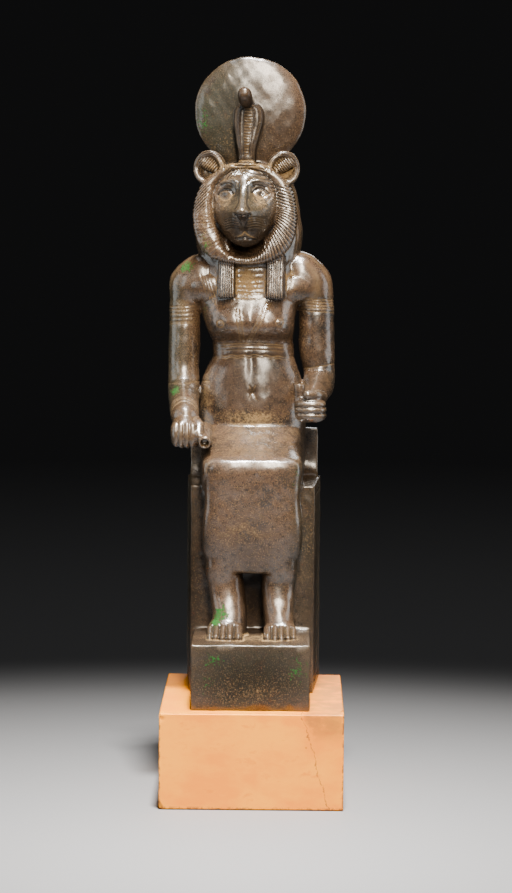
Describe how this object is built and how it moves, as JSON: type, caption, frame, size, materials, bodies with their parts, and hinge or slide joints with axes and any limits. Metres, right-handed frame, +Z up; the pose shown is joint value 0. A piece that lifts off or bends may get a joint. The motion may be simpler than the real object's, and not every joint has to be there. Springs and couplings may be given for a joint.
{
  "type": "seated lion-headed goddess statue",
  "caption": "Cast bronze statue of a seated lion-headed goddess with a sun disc and a rearing cobra, on a throne with a footrest, fixed on a block of stone.",
  "frame": {"origin": "centre of the stone block's underside", "axes": "+Z up, the figure faces -Y, +X to the right of someone who looks at her"},
  "size_m": [0.107, 0.146, 0.4377],
  "materials": {
    "bronze": "dark brown patinated cast bronze, rubbed bright on the raised places, with grey-green and sandy deposits in the carving",
    "stone": "honey-orange marble, honed, with a fine dark vein and small chips on the edges"
  },
  "bodies": {
    "root": {"bronze_goddess": "bronze", "stone_plinth": "stone"}
  },
  "joints": []
}
